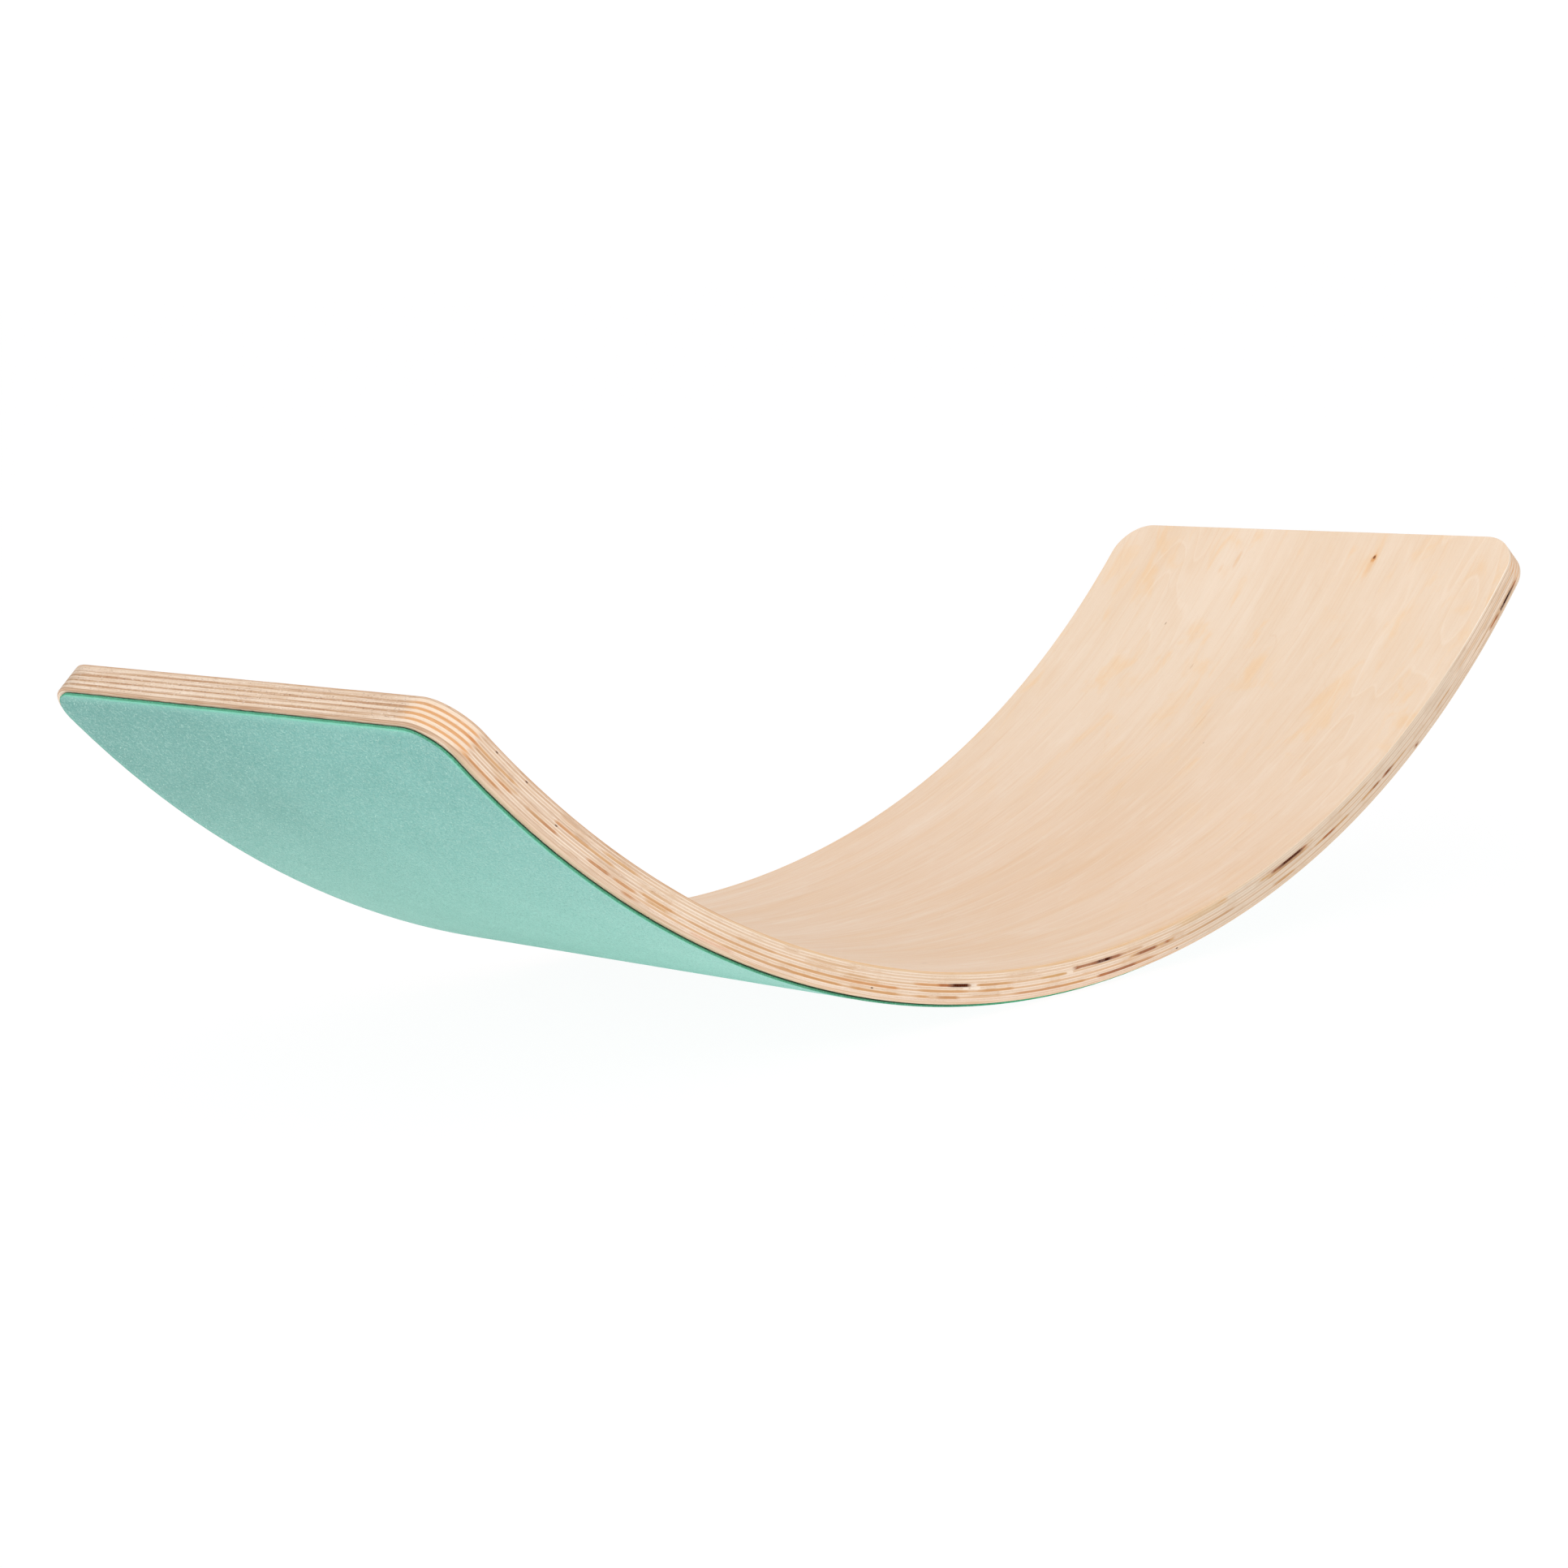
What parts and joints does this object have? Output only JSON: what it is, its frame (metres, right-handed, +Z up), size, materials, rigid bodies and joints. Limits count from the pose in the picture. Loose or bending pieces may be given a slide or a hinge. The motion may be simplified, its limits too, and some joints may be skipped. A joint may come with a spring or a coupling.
{
  "type": "balance board",
  "caption": "Curved rocker board of pressed veneers with rounded corners and felt glued to its convex underside; a person stands on the concave face and rocks it.",
  "frame": {"origin": "middle of the lowest line of the felt underside, where the board touches a level floor", "axes": "+X along the length of the board towards its right-hand end, +Y across the board away from the front long edge, +Z up out of the concave standing surface; the bending axis is parallel to Y at X = 0, Z = 570.8 mm"},
  "size_m": [0.8464, 0.3, 0.2007],
  "materials": {
    "face_veneer": "rotary-cut birch, sanded, clear satin lacquer",
    "core_veneer": "birch core veneer, sanded edge",
    "crossband_veneer": "birch crossband veneer, sanded edge",
    "adhesive": "dried contact adhesive",
    "felt": "mint-green needled felt"
  },
  "bodies": {
    "root": {"top_face_veneer": "face_veneer", "crossband_02": "crossband_veneer", "core_veneer_03": "core_veneer", "crossband_04": "crossband_veneer", "core_veneer_05": "core_veneer", "crossband_06": "crossband_veneer", "core_veneer_07": "core_veneer", "crossband_08": "crossband_veneer", "core_veneer_09": "core_veneer", "crossband_10": "crossband_veneer", "bottom_face_veneer": "face_veneer", "felt_adhesive_film": "adhesive", "felt_sheet": "felt"}
  },
  "joints": []
}
